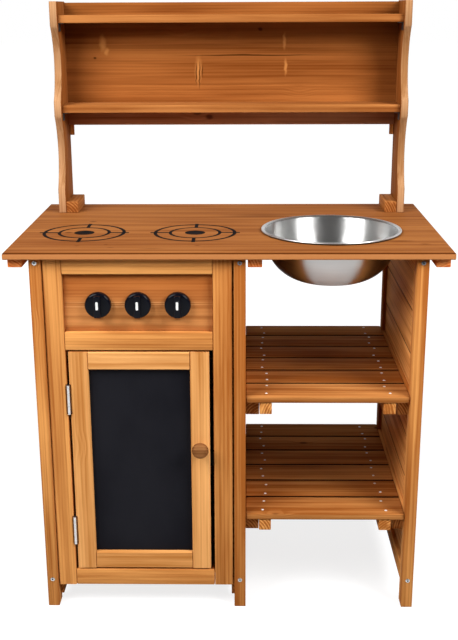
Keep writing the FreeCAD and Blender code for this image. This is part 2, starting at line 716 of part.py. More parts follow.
# Hutch foot blocks: short lengths beside each upright, on the worktop.
foot_front = upright_front + foot_block_set_back
foot_blocks = []
for side in (-1, 1):
    wall = side * upright_inner
    block_xs = sorted((wall, wall - side * foot_block_width))
    foot_blocks.append(plank(block_xs, (foot_front, foot_front + foot_block_length),
                             (worktop_top, worktop_top + foot_block_height), along_y))
save("hutch_foot_blocks", Part.makeCompound(foot_blocks))
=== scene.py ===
import math
import random

import bmesh
import bpy
from mathutils import Matrix, Vector


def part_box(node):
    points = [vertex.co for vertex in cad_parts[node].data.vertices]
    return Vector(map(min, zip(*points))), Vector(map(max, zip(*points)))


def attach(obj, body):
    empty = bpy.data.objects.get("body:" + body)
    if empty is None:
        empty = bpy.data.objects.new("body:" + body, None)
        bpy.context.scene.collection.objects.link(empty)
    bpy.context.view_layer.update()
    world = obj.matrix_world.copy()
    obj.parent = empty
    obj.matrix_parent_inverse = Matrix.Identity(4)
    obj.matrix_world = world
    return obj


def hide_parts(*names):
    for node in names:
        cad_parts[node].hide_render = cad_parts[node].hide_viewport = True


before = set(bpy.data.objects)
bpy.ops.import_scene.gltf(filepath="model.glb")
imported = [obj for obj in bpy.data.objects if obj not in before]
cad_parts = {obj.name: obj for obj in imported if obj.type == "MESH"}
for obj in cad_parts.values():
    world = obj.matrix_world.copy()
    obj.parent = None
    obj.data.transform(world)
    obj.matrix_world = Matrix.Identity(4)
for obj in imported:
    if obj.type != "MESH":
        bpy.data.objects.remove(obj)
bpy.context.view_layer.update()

# Side panels: two legs, two rails and a stack of boards make each of the three panels that carry the
# worktop. Planed softwood with eased edges, stained honey brown and sealed with a satin oil.
# Each board is cut from another log, so each has its own tone and its own stretch of grain.
grain_axes = {"X": (0, 1, 2), "Y": (1, 0, 2), "Z": (2, 0, 1)}
wood_draw = random.Random(41)
tone_range = (0.05, 1.0)
along_range = (0.0, 30.0)
across_range = (0.018, 0.060)
through_range = (0.015, 0.050)
smooth_angle = math.radians(38)
end_slope = 0.8
thinnest_solid = 0.0003
merge_reach = 0.00002
small_ease = 0.0012
wide_ease = 0.0015
joint_ease = 0.0020
wood_gloss = 0.004
# A tone of 0 is pale and 1 is deep. Boards that aren't named draw theirs.
# The right back leg's tone, deeper than any drawn tone, is painted shade inside the bay.
board_tones = {"left_front_leg": 0.75, "middle_front_leg": 2.3, "right_front_leg": 1.15,
               "right_back_leg": 2.6}


def add_node(tree, kind, inputs, **settings):
    """One shader node, with its settings, and its inputs set or linked."""
    made = tree.nodes.new(kind)
    for key, value in settings.items():
        setattr(made, key, value)
    for key, value in inputs.items():
        if isinstance(value, bpy.types.NodeSocket):
            tree.links.new(value, made.inputs[key])
        else:
            made.inputs[key].default_value = value
    return made


def work_out(tree, operation, *values):
    """A sum on single numbers."""
    return add_node(tree, "ShaderNodeMath", dict(enumerate(values)), operation=operation).outputs[0]


def work_vector(tree, operation, *values):
    """A sum on vectors."""
    made = add_node(tree, "ShaderNodeVectorMath", dict(enumerate(values)), operation=operation)
    return made.outputs["Value" if operation in ("LENGTH", "DOT_PRODUCT") else "Vector"]


def fade(tree, value, low, high, to_low=0.0, to_high=1.0):
    """A smooth step from one value to another."""
    inputs = {"Value": value, "From Min": low, "From Max": high, "To Min": to_low, "To Max": to_high}
    return add_node(tree, "ShaderNodeMapRange", inputs, interpolation_type="SMOOTHSTEP").outputs["Result"]


def mix_colour(tree, share, first, second, blend="MIX"):
    """Two colours mixed."""
    made = add_node(tree, "ShaderNodeMix", {0: share, 6: first, 7: second}, data_type="RGBA",
                    blend_type=blend)
    return made.outputs[2]


def noise(tree, place, stretch, detail, output="Fac"):
    """Noise stretched along the three axes, in cycles per metre."""
    stretched = work_vector(tree, "MULTIPLY", place, stretch)
    made = add_node(tree, "ShaderNodeTexNoise", {"Vector": stretched, "Scale": 1.0, "Detail": detail})
    return made.outputs[output]


def axes_of(tree, vector):
    """The X, Y and Z of a vector."""
    return add_node(tree, "ShaderNodeSeparateXYZ", {0: vector}).outputs


def face_normal(tree):
    """The direction that a face looks in, before any bump."""
    return add_node(tree, "ShaderNodeNewGeometry", {}).outputs["True Normal"]


def new_group(name, inputs, outputs):
    """An empty shader group with its sockets."""
    tree = bpy.data.node_groups.new(name, "ShaderNodeTree")
    for socket, kind in inputs.items():
        tree.interface.new_socket(socket, in_out="INPUT", socket_type=kind)
    for socket, kind in outputs.items():
        tree.interface.new_socket(socket, in_out="OUTPUT", socket_type=kind)
    return tree, tree.nodes.new("NodeGroupInput").outputs, tree.nodes.new("NodeGroupOutput").inputs


# Place runs along the grain in X, across the board in Y and through it in Z, from the heart of the log.
# End is one on sawn ends, where the late wood of the rings takes the stain deepest.
rings_per_metre = 230.0
ring_swing = 1.1
knot_spread = (7.0, 11.0, 11.0)
knot_brown = (0.060, 0.016, 0.005, 1.0)
grain_start = -0.46
grain_shares = {"late_wood": 0.30, "streak": 0.60, "cloud": 0.30, "fibre": 0.42, "tone": 0.34}
pine_tree, pine_in, pine_out = new_group(
    "pine_grain",
    {"Place": "NodeSocketVector", "Tone": "NodeSocketFloat", "End": "NodeSocketFloat",
     "Pale": "NodeSocketColor", "Deep": "NodeSocketColor"},
    {"Color": "NodeSocketColor", "Roughness": "NodeSocketFloat", "Height": "NodeSocketFloat"})
log_place = pine_in["Place"]
knot_place = work_vector(pine_tree, "MULTIPLY", log_place, knot_spread)
knot_cells = add_node(pine_tree, "ShaderNodeTexVoronoi", {"Vector": knot_place, "Scale": 1.0})
knot_away = knot_cells.outputs["Distance"]
knot_chance = work_out(pine_tree, "GREATER_THAN", knot_cells.outputs["Color"], 0.5)
knot_mask = work_out(pine_tree, "MULTIPLY", fade(pine_tree, knot_away, 0.030, 0.075, 1.0, 0.0), knot_chance)
knot_push = work_out(pine_tree, "MULTIPLY", fade(pine_tree, knot_away, 0.0, 0.26, 0.007, 0.0), knot_chance)
waver = noise(pine_tree, log_place, (2.2, 9.0, 9.0), 2.0, "Color")
waver = work_vector(pine_tree, "SUBTRACT", waver, (0.5, 0.5, 0.5))
waver = work_vector(pine_tree, "MULTIPLY", waver, (0.0, 0.005, 0.005))
bent = work_vector(pine_tree, "MULTIPLY", log_place, (0.0, 1.0, 1.0))
ring_radius = work_vector(pine_tree, "LENGTH", work_vector(pine_tree, "ADD", bent, waver))
ring_radius = work_out(pine_tree, "ADD", ring_radius, knot_push)
growth = add_node(pine_tree, "ShaderNodeTexNoise", {"W": ring_radius, "Scale": 62.0, "Detail": 1.0},
                  noise_dimensions="1D").outputs["Fac"]
ring_drift = work_out(pine_tree, "MULTIPLY", growth, ring_swing)
ring_count = work_out(pine_tree, "MULTIPLY_ADD", ring_radius, rings_per_metre, ring_drift)
ring_turn = work_out(pine_tree, "FRACT", ring_count)
ring_year = add_node(pine_tree, "ShaderNodeTexWhiteNoise", {"W": work_out(pine_tree, "FLOOR", ring_count)},
                     noise_dimensions="1D").outputs["Value"]
late_wood = work_out(pine_tree, "SUBTRACT", fade(pine_tree, ring_turn, 0.05, 0.80),
                     fade(pine_tree, ring_turn, 0.82, 1.0))
late_wood = work_out(pine_tree, "MULTIPLY", late_wood, fade(pine_tree, ring_year, 0.0, 1.0, 0.15, 1.0))
fibre = noise(pine_tree, log_place, (9.0, 560.0, 560.0), 3.0)
streak = noise(pine_tree, log_place, (2.4, 70.0, 70.0), 4.0)
cloud = noise(pine_tree, log_place, (3.4, 14.0, 14.0), 3.0)
streak_mask = fade(pine_tree, streak, 0.34, 0.68)
cloud_mask = fade(pine_tree, cloud, 0.30, 0.70)
depth = work_out(pine_tree, "MULTIPLY_ADD", late_wood, grain_shares["late_wood"], grain_start)
depth = work_out(pine_tree, "MULTIPLY_ADD", streak_mask, grain_shares["streak"], depth)
depth = work_out(pine_tree, "MULTIPLY_ADD", cloud_mask, grain_shares["cloud"], depth)
depth = work_out(pine_tree, "MULTIPLY_ADD", fibre, grain_shares["fibre"], depth)
depth = work_out(pine_tree, "MULTIPLY_ADD", pine_in["Tone"], grain_shares["tone"], depth)
end_depth = work_out(pine_tree, "MULTIPLY_ADD", late_wood, 1.10, -0.15)
depth = work_out(pine_tree, "MULTIPLY_ADD", pine_in["End"], end_depth, depth)
grain_colour = mix_colour(pine_tree, depth, pine_in["Pale"], pine_in["Deep"])
knot_share = fade(pine_tree, knot_away, 0.0, 0.06, 0.55, 0.85)
knot_colour = mix_colour(pine_tree, knot_share, grain_colour, knot_brown)
pine_tree.links.new(mix_colour(pine_tree, knot_mask, grain_colour, knot_colour), pine_out["Color"])
pine_tree.links.new(work_out(pine_tree, "MULTIPLY_ADD", fibre, 0.24, 0.44), pine_out["Roughness"])
relief = work_out(pine_tree, "MULTIPLY_ADD", late_wood, 0.5, work_out(pine_tree, "MULTIPLY", fibre, 0.6))
pine_tree.links.new(relief, pine_out["Height"])


def new_material(name):
    """A material with only a Principled shader, ready for its nodes."""
    made = bpy.data.materials.new(name)
    made.use_nodes = True
    return made, made.node_tree, made.node_tree.nodes["Principled BSDF"]


def pine(name, pale, deep):
    """Stained softwood that follows the grain stored on each board."""
    made, tree, shader = new_material(name)
    place = add_node(tree, "ShaderNodeAttribute", {}, attribute_name="board_place").outputs["Vector"]
    tone = add_node(tree, "ShaderNodeAttribute", {}, attribute_name="board_tone").outputs["Fac"]
    grain = add_node(tree, "ShaderNodeGroup", {}, node_tree=pine_tree)
    end = add_node(tree, "ShaderNodeAttribute", {}, attribute_name="end_grain").outputs["Fac"]
    for key, value in {"Place": place, "Tone": tone, "End": end}.items():
        tree.links.new(value, grain.inputs[key])
    grain.inputs["Pale"].default_value = pale
    grain.inputs["Deep"].default_value = deep
    bump = add_node(tree, "ShaderNodeBump", {"Height": grain.outputs["Height"], "Strength": 0.35,
                                             "Distance": 0.0004})
    tree.links.new(grain.outputs["Color"], shader.inputs["Base Color"])
    tree.links.new(grain.outputs["Roughness"], shader.inputs["Roughness"])
    tree.links.new(bump.outputs["Normal"], shader.inputs["Normal"])
    shader.inputs["Specular IOR Level"].default_value = wood_gloss
    return made, tree, shader, grain


def new_boards():
    """An empty mesh that keeps a grain place and a tone on every corner."""
    bm = bmesh.new()
    bm.verts.layers.float_vector.new("board_place")
    bm.verts.layers.float.new("board_tone")
    bm.loops.layers.float.new("end_grain")
    return bm


def stamp_grain(bm, middle, grain, tone=None):
    """Give the corners that were added last their own stretch of a log, and mark the sawn ends."""
    place_layer = bm.verts.layers.float_vector["board_place"]
    tone_layer = bm.verts.layers.float["board_tone"]
    end_layer = bm.loops.layers.float["end_grain"]
    along, across, through = grain_axes[grain]
    drawn = wood_draw.uniform(*tone_range)
    tone = drawn if tone is None else tone
    shift_along = wood_draw.uniform(*along_range)
    shift_across = wood_draw.choice((-1, 1)) * wood_draw.uniform(*across_range)
    shift_through = wood_draw.uniform(*through_range)
    shift = Vector((shift_along, shift_across, shift_through))
    fresh = set()
    for vert in bm.verts:
        if vert[tone_layer] == 0.0:
            off = vert.co - middle
            vert[place_layer] = Vector((off[along], off[across], off[through])) + shift
            vert[tone_layer] = tone
            fresh.update(vert.link_faces)
    for face in fresh:
        face.normal_update()
        for loop in face.loops:
            loop[end_layer] = 1.0 if abs(face.normal[along]) > end_slope else 0.0


def add_board(bm, low, high, grain, ease, tone=None):
    """One planed board between two corners, with eased edges."""
    middle = (low + high) / 2
    made = bmesh.ops.create_cube(bm, size=1.0, matrix=Matrix.LocRotScale(middle, None, high - low))
    corners = set(made["verts"])
    edges = [edge for edge in bm.edges if edge.verts[0] in corners]
    bmesh.ops.bevel(bm, geom=edges, offset=ease, offset_type="OFFSET", affect="EDGES", segments=3,
                    profile=0.5, material=-1)
    stamp_grain(bm, middle, grain, tone)


def solids_of(node):
    """The boxes of the separate solids of a node, in a fixed order. Solids that touch stay apart."""
    bm = bmesh.new()
    bm.from_mesh(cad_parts[node].data)
    bmesh.ops.remove_doubles(bm, verts=bm.verts, dist=merge_reach)
    left = set(bm.faces)
    boxes = []
    while left:
        patch = [left.pop()]
        for face in patch:
            for edge in face.edges:
                for other in edge.link_faces:
                    if len(edge.link_faces) == 2 and other in left:
                        left.remove(other)
                        patch.append(other)
        places = [vert.co for face in patch for vert in face.verts]
        low = Vector([min(place[axis] for place in places) for axis in range(3)])
        high = Vector([max(place[axis] for place in places) for axis in range(3)])
        if min(high - low) > thinnest_solid:
            boxes.append((low, high))
    bm.free()
    return sorted(boxes, key=lambda box: [round(value, 4) for value in box[0]])


def finish_piece(name, bm, material, body, nodes, flat=False):
    """Turn a finished mesh into a piece that rides on a body and stands for its nodes."""
    mesh = bpy.data.meshes.new(name)
    bm.to_mesh(mesh)
    bm.free()
    mesh.materials.append(material)
    if flat:
        mesh.shade_flat()
    else:
        mesh.shade_smooth()
        mesh.set_sharp_from_angle(angle=smooth_angle)
    piece = bpy.data.objects.new(name, mesh)
    bpy.context.scene.collection.objects.link(piece)
    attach(piece, body)
    if nodes:
        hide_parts(*nodes)


def board_piece(node, material, grain, ease, body="kitchen"):
    """All the plain boards of one node as one piece."""
    bm = new_boards()
    boxes = solids_of(node)
    tones = board_tones.get(node)
    if not isinstance(tones, tuple):
        tones = (tones,) * len(boxes)
    for box, tone in zip(boxes, tones):
        add_board(bm, *box, grain, ease, tone)
    finish_piece(node + "_timber", bm, material, body, [node])


honey_pine = pine("honey_pine", (0.78, 0.350, 0.100, 1.0), (0.36, 0.108, 0.020, 1.0))[0]
side_pine, side_tree, side_shader, side_grain = pine("side_pine", (0.84, 0.390, 0.120, 1.0),
                                                     (0.42, 0.130, 0.026, 1.0))
# The side boards' eased edges and V-joints, where faces turn away from X, are painted dark brown as painted
# shade between the boards.
joint_shade_brown = (0.040, 0.011, 0.003, 1.0)
side_slope = work_out(side_tree, "ABSOLUTE", axes_of(side_tree, face_normal(side_tree))["X"])
joint_shade = fade(side_tree, side_slope, 0.70, 0.99, 0.95, 0.0)
side_colour = mix_colour(side_tree, joint_shade, side_grain.outputs["Color"], joint_shade_brown)
side_tree.links.new(side_colour, side_shader.inputs["Base Color"])
for panel in ("left", "middle", "right"):
    for end in ("front", "back"):
        board_piece(panel + "_" + end + "_leg", honey_pine, "Z", small_ease)
    board_piece(panel + "_side_rails", honey_pine, "Y", wide_ease)
    board_piece(panel + "_side_boards", side_pine, "Y", joint_ease)

# Leg screws: zinc-plated furniture screws with a coned head and a hexagon socket. They go through each
# leg into the end grain of the rails, two to a leg. The upper ones of all but the left panel are painted
# dark grey as painted shadow from the worktop.
upward = Vector((0.0, 0.0, 1.0))
screw_sides = 20
screw_shank = 0.0025
screw_length = 0.050
socket_radius = 0.0017
socket_depth = 0.0025
socket_sides = 6
head_cone = 0.0006
head_draft = 0.0002
face_step = 0.0011
zinc_grey = (0.66, 0.67, 0.68, 1.0)
shadow_grey = (0.15, 0.15, 0.16, 1.0)
shadow_across = (-0.20, -0.15)
shadow_up = (0.30, 0.35)
plated_speckle = 420.0


def ring(bm, centre, radius, sides, facing):
    """A closed ring of edges that faces along a direction."""
    turn = upward.rotation_difference(facing).to_matrix().to_4x4()
    made = bmesh.ops.create_circle(bm, cap_ends=False, segments=sides, radius=radius,
                                   matrix=Matrix.Translation(centre) @ turn)
    return list(dict.fromkeys(edge for vert in made["verts"] for edge in vert.link_edges))


def add_rings(bm, rings, cap_first, cap_last):
    """Join rings one after another into a turned shape."""
    for first, second in zip(rings, rings[1:]):
        bmesh.ops.bridge_loops(bm, edges=first + second)
    if cap_first:
        bmesh.ops.contextual_create(bm, geom=rings[0])
    if cap_last:
        bmesh.ops.contextual_create(bm, geom=rings[-1])


def object_place(tree):
    """The place on a piece, in metres from the kitchen's origin."""
    return add_node(tree, "ShaderNodeTexCoord", {}).outputs["Object"]


def metal(name, colour, smooth, rough, scale):
    """Plated or polished metal with a fine cloudy finish."""
    made, tree, shader = new_material(name)
    place = object_place(tree)
    cloud_mask = noise(tree, place, (scale, scale, scale), 4.0)
    shade = mix_colour(tree, fade(tree, cloud_mask, 0.3, 0.7), colour, [0.78 * part for part in colour])
    tree.links.new(shade, shader.inputs["Base Color"])
    tree.links.new(fade(tree, cloud_mask, 0.3, 0.7, smooth, rough), shader.inputs["Roughness"])
    shader.inputs["Metallic"].default_value = 1.0
    return made, tree, shader


# Near-black finish for the socket holes: painted shade in the hexagon sockets.
stop_and_socket_shade = metal("stop_and_socket_shade", (0.012, 0.011, 0.010, 1.0), smooth=0.55, rough=0.75,
                     scale=plated_speckle)[0]
screws = bmesh.new()
sockets = bmesh.new()
for low, high in solids_of("leg_screws"):
    facing = Vector((0.0, -1.0 if low.y < 0 else 1.0, 0.0))
    middle = (low + high) / 2
    tip = middle - facing * (high.y - low.y) / 2
    face = middle + facing * (high.y - low.y) / 2
    seat = tip + facing * screw_length
    head_radius = (high.x - low.x) / 2
    add_rings(screws, [ring(screws, tip, screw_shank, screw_sides, facing),
                       ring(screws, seat, screw_shank, screw_sides, facing),
                       ring(screws, seat, head_radius, screw_sides, facing),
                       ring(screws, face - facing * head_cone, head_radius - head_draft, screw_sides, facing),
                       ring(screws, face, head_radius - face_step, screw_sides, facing),
                       ring(screws, face, socket_radius, socket_sides, facing)], True, False)
    socket_floor = face - facing * socket_depth
    add_rings(sockets, [ring(sockets, face, socket_radius, socket_sides, facing),
                        ring(sockets, socket_floor, socket_radius, socket_sides, facing)], False, True)
bmesh.ops.recalc_face_normals(screws, faces=screws.faces)
leg_zinc, zinc_tree, zinc_shader = metal("leg_zinc", zinc_grey, smooth=0.24, rough=0.42,
                                         scale=plated_speckle)
zinc_colour = zinc_shader.inputs["Base Color"].links[0].from_socket
zinc_split = axes_of(zinc_tree, object_place(zinc_tree))
# Painted shadow: the upper screws right of the left panel turn dark grey.
screw_shadow = work_out(zinc_tree, "MULTIPLY", fade(zinc_tree, zinc_split["X"], *shadow_across),
                  fade(zinc_tree, zinc_split["Z"], *shadow_up))
zinc_tree.links.new(mix_colour(zinc_tree, screw_shadow, zinc_colour, shadow_grey), zinc_shader.inputs["Base Color"])
finish_piece("leg_screws_zinc", screws, leg_zinc, "kitchen", ["leg_screws"])
finish_piece("leg_screw_sockets", sockets, stop_and_socket_shade, "kitchen", [])

# Cabinet face: two stiles and three rails screwed to the panels, with a recessed panel for the knobs.
# The left stile is notched for the hinges. Same stained softwood.
flat_turn = 0.01
sharp_turn = 1.2
panel_ease = 0.0004
panel_fade = 0.012
# The top rail's tone, paler than any drawn tone, is painted light against the worktop's shadow.
board_tones.update(cabinet_left_stile=0.45, cabinet_right_stile=1.5, cabinet_top_rail=-0.85,
                   cabinet_middle_rail=0.3, cabinet_bottom_rail=0.6)


def shaped_piece(node, material, grain, ease, body="kitchen", flat=False):
    """One board with a shape of its own, from its CAD solid, with its sharp edges eased."""
    bm = new_boards()
    bm.from_mesh(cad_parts[node].data)
    bmesh.ops.remove_doubles(bm, verts=bm.verts, dist=merge_reach)
    bmesh.ops.dissolve_limit(bm, angle_limit=flat_turn, verts=bm.verts, edges=bm.edges)
    if ease:
        sharp = [edge for edge in bm.edges if edge.is_manifold and edge.calc_face_angle() > sharp_turn]
        bmesh.ops.bevel(bm, geom=sharp, offset=ease, offset_type="OFFSET", affect="EDGES", segments=2,
                        profile=0.5, clamp_overlap=True, material=-1)
    low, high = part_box(node)
    stamp_grain(bm, (low + high) / 2, grain, board_tones.get(node))
    finish_piece(node + "_timber", bm, material, body, [node], flat)


shaped_piece("cabinet_left_stile", honey_pine, "Z", 0, flat=True)
board_piece("cabinet_right_stile", honey_pine, "Z", small_ease)
for rail in ("top", "middle", "bottom"):
    board_piece("cabinet_" + rail + "_rail", honey_pine, "X", wide_ease)


def mark_at(tree, place, middle, half, soft):
    """An oval mark, at a middle in X and Z and with half sizes in X and Z, with a soft rim."""
    away = work_vector(tree, "SUBTRACT", place, (middle[0], 0.0, middle[1]))
    away = work_vector(tree, "MULTIPLY", away, (1.0 / half[0], 0.0, 1.0 / half[1]))
    return fade(tree, work_vector(tree, "LENGTH", away), soft, 1.0, 1.0, 0.0)


def paint_marks(tree, place, colour, marks, paint, most):
    """A colour with oval marks painted on it."""
    for middle, half, soft in marks:
        share = work_out(tree, "MULTIPLY", mark_at(tree, place, middle, half, soft), most)
        colour = mix_colour(tree, share, colour, paint)
    return colour


panel_pine, panel_tree, panel_shader, panel_grain = pine("panel_pine", (0.60, 0.220, 0.058, 1.0),
                                                         (0.31, 0.082, 0.016, 1.0))
panel_place = object_place(panel_tree)
pale_streaks = (((-0.150, 0.5392), (0.170, 0.0012), 0.4), ((-0.120, 0.5358), (0.150, 0.0009), 0.4),
                ((-0.190, 0.5322), (0.120, 0.0012), 0.4))
panel_colour = paint_marks(panel_tree, panel_place, panel_grain.outputs["Color"], pale_streaks,
                           (0.80, 0.380, 0.130, 1.0), 0.55)
low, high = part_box("knob_panel")
# The panel is painted paler and yellower towards the bottom, darker and redder towards the top.
panel_high = axes_of(panel_tree, panel_place)["Z"]
panel_height_share = fade(panel_tree, panel_high, low.z + panel_fade, high.z - panel_fade)
panel_height_tint = mix_colour(panel_tree, panel_height_share, (1.16, 1.34, 1.60, 1.0), (0.76, 0.66, 0.58, 1.0))
panel_colour = mix_colour(panel_tree, 1.0, panel_colour, panel_height_tint, "MULTIPLY")
panel_tree.links.new(panel_colour, panel_shader.inputs["Base Color"])
board_piece("knob_panel", panel_pine, "X", panel_ease)

# Control knobs: moulded black plastic with a round skirt and a raised grip bar, turned by hand on a
# screw from behind the panel. A white mark is let into the bar.
knob_axis = Vector((0.0, -1.0, 0.0))
knob_sides = 64
spin_merge = 0.00001
skirt_height = 0.0110
skirt_round = 0.0042
skirt_foot = 0.0008
skirt_dome = 0.0010
skirt_turn = 80.0
skirt_steps = 8
grip_half = 0.0055
grip_inset = 0.0030
grip_root = 0.0040
grip_ease = 0.0022
pointer_ease = 0.0017
least_depth = 0.0001


def add_spin(bm, outline, centre, axis, sides):
    """A turned shape from points given as (radius, distance along the axis)."""
    sideways = axis.orthogonal().normalized()
    verts = [bm.verts.new(centre + sideways * radius + axis * along) for radius, along in outline]
    edges = [bm.edges.new(pair) for pair in zip(verts, verts[1:])]
    bmesh.ops.spin(bm, geom=verts + edges, cent=centre, axis=axis, dvec=(0.0, 0.0, 0.0),
                   angle=math.tau, steps=sides, use_merge=True, use_duplicate=False)
    bmesh.ops.remove_doubles(bm, verts=bm.verts, dist=spin_merge)
    bmesh.ops.recalc_face_normals(bm, faces=bm.faces)


def corner_arc(centre, radius, start, end, steps):
    """Points on an arc in a turned shape's outline, angles in degrees."""
    points = []
    for step in range(steps + 1):
        angle = math.radians(start + (end - start) * step / steps)
        points.append((centre[0] + radius * math.cos(angle), centre[1] + radius * math.sin(angle)))
    return points


black_plastic, plastic_tree, plastic = new_material("black_plastic")
plastic_place = object_place(plastic_tree)
plastic_mottle = noise(plastic_tree, plastic_place, (90.0, 90.0, 90.0), 4.0)
plastic_grain = noise(plastic_tree, plastic_place, (2600.0, 2600.0, 2600.0), 2.0)
plastic_tree.links.new(mix_colour(plastic_tree, plastic_mottle, (0.0018, 0.0022, 0.0045, 1.0),
                                  (0.0040, 0.0048, 0.0085, 1.0)), plastic.inputs["Base Color"])
plastic_tree.links.new(fade(plastic_tree, plastic_mottle, 0.3, 0.7, 0.07, 0.13), plastic.inputs["Roughness"])
plastic_bump = add_node(plastic_tree, "ShaderNodeBump", {"Height": plastic_grain, "Strength": 0.08,
                                                         "Distance": 0.0002})
plastic_tree.links.new(plastic_bump.outputs["Normal"], plastic.inputs["Normal"])
plastic.inputs["Specular IOR Level"].default_value = 0.09
white_mark, mark_tree, mark = new_material("white_mark")
mark_place = object_place(mark_tree)
mark_mottle = noise(mark_tree, mark_place, (700.0, 700.0, 700.0), 3.0)
mark_tree.links.new(mix_colour(mark_tree, mark_mottle, (0.86, 0.86, 0.84, 1.0), (0.74, 0.74, 0.72, 1.0)),
                    mark.inputs["Base Color"])
mark_tree.links.new(fade(mark_tree, mark_mottle, 0.3, 0.7, 0.35, 0.55), mark.inputs["Roughness"])

for knob in ("left", "middle", "right"):
    low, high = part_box("control_knob_" + knob)
    radius = (high.x - low.x) / 2
    centre = Vector(((low.x + high.x) / 2, high.y, (low.z + high.z) / 2))
    bm = bmesh.new()
    outline = [(0.0, 0.0), (radius - skirt_foot, 0.0), (radius, skirt_foot)]
    outline += corner_arc((radius - skirt_round, skirt_height - skirt_round), skirt_round, 0.0, skirt_turn,
                          skirt_steps)
    outline += [(0.0, skirt_height + skirt_dome)]
    add_spin(bm, outline, centre, knob_axis, knob_sides)
    grip_low = Vector((centre.x - grip_half, low.y, centre.z - radius + grip_inset))
    grip_high = Vector((centre.x + grip_half, high.y - grip_root, centre.z + radius - grip_inset))
    grip = bmesh.ops.create_cube(bm, size=1.0, matrix=Matrix.LocRotScale(
        (grip_low + grip_high) / 2, None, grip_high - grip_low))
    grip_corners = set(grip["verts"])
    grip_edges = [edge for edge in bm.edges if edge.verts[0] in grip_corners]
    bmesh.ops.bevel(bm, geom=grip_edges, offset=grip_ease, offset_type="OFFSET", affect="EDGES",
                    segments=5, profile=0.5, material=-1)
    finish_piece("control_knob_" + knob + "_moulded", bm, black_plastic, "knob_" + knob,
                 ["control_knob_" + knob])
    low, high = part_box("knob_pointer_" + knob)
    bm = bmesh.new()
    bmesh.ops.create_cube(bm, size=1.0, matrix=Matrix.LocRotScale((low + high) / 2, None, high - low))
    deep_edges = [edge for edge in bm.edges
                  if abs(edge.verts[0].co.y - edge.verts[1].co.y) > least_depth]
    bmesh.ops.bevel(bm, geom=deep_edges, offset=pointer_ease, offset_type="OFFSET", affect="EDGES",
                    segments=5, profile=0.5, material=-1)
    finish_piece("knob_pointer_" + knob + "_mark", bm, white_mark, "knob_" + knob,
                 ["knob_pointer_" + knob])

# Hinges: pressed zinc-plated butt hinges with a rolled barrel in three knuckles on a pin. The leaves
# are let in between the stile and the door.


def dress(nodes, material):
    """Give pieces that keep their own solid a material."""
    for node in nodes:
        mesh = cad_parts[node].data
        mesh.materials.clear()
        mesh.materials.append(material)


bright_zinc = metal("bright_zinc", zinc_grey, smooth=0.24, rough=0.42, scale=plated_speckle)[0]
dress(["frame_hinge_leaves", "door_hinge_leaves", "hinge_pins"], bright_zinc)
dress(["knob_screw_left", "knob_screw_middle", "knob_screw_right", "door_knob_screw"], bright_zinc)

# Door: two stiles and two rails round a chalkboard, which sits in a groove. The frame is the palest
# softwood of the kitchen, under the same oil.
board_tones.update(door_left_stile=0.6, door_right_stile=0.45, door_top_rail=0.05, door_bottom_rail=0.9)
pale_pine = pine("pale_pine", (0.84, 0.410, 0.140, 1.0), (0.48, 0.180, 0.040, 1.0))[0]
for stile in ("left", "right"):
    shaped_piece("door_" + stile + "_stile", pale_pine, "Z", 0, "door", True)
for rail in ("top", "bottom"):
    shaped_piece("door_" + rail + "_rail", pale_pine, "X", 0, "door", True)

# Chalkboard: a thin hardboard panel under matt black chalkboard paint, with the faint cloud of dust
# that wiped chalk leaves.
chalk_black, chalk_tree, chalk = new_material("chalk_black")
chalk_place = object_place(chalk_tree)
chalk_dust = noise(chalk_tree, chalk_place, (9.0, 9.0, 5.0), 5.0)
chalk_tooth = noise(chalk_tree, chalk_place, (900.0, 900.0, 900.0), 3.0)
dusted = mix_colour(chalk_tree, fade(chalk_tree, chalk_dust, 0.35, 0.75), (0.0062, 0.0062, 0.0090, 1.0),
                    (0.0115, 0.0115, 0.0150, 1.0))
chalk_tree.links.new(dusted, chalk.inputs["Base Color"])
chalk_tree.links.new(fade(chalk_tree, chalk_tooth, 0.3, 0.7, 0.62, 0.82), chalk.inputs["Roughness"])
chalk_bump = add_node(chalk_tree, "ShaderNodeBump", {"Height": chalk_tooth, "Strength": 0.15,
                                                     "Distance": 0.0002})
chalk_tree.links.new(chalk_bump.outputs["Normal"], chalk.inputs["Normal"])
chalk.inputs["Specular IOR Level"].default_value = 0.06
dress(["chalkboard"], chalk_black)

# Door knob: turned from one block of darker wood, with a waisted neck and a domed face, and held by a
# screw through the stile.
low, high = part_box("door_knob")
knob_centre = Vector(((low.x + high.x) / 2, high.y, (low.z + high.z) / 2))
knob_reach = high.y - low.y
knob_wide = (high.x - low.x) / 2
turned_sides = 56
turned_outline = [(0.0, 0.0), (0.0075, 0.0), (0.0073, 0.0006), (0.0066, 0.0025), (0.0065, 0.0040),
                  (0.0070, 0.0060), (0.0082, 0.0076), (0.0104, 0.0092), (0.0124, 0.0112),
                  (knob_wide - 0.0002, 0.0130), (knob_wide, 0.0146), (knob_wide - 0.0003, 0.0162),
                  (0.0124, 0.0182), (0.0110, 0.0198), (0.0092, 0.0210), (0.0060, 0.0217),
                  (0.0030, knob_reach - 0.0001), (0.0, knob_reach)]
bm = new_boards()
add_spin(bm, turned_outline, knob_centre, knob_axis, turned_sides)
stamp_grain(bm, knob_centre, "X")
turned_pine = pine("turned_pine", (0.42, 0.185, 0.066, 1.0), (0.15, 0.050, 0.014, 1.0))[0]
finish_piece("door_knob_turned", bm, turned_pine, "door", ["door_knob"])

# Cabinet inside: boards across the back, and floor slats on cleats, sawn from the same softwood and
# nailed. A black plastic stop behind the door's free edge is screwed to the stile.
fine_ease = 0.0010
# The black plastic stop takes the near-black socket finish, darker than plastic, as painted shade in the gap
# behind the door.
dress(["door_stop"], stop_and_socket_shade)
board_piece("cabinet_back_boards", honey_pine, "X", small_ease)
board_piece("cabinet_floor_slats", honey_pine, "X", wide_ease)
board_piece("cabinet_floor_cleats", honey_pine, "Y", fine_ease)

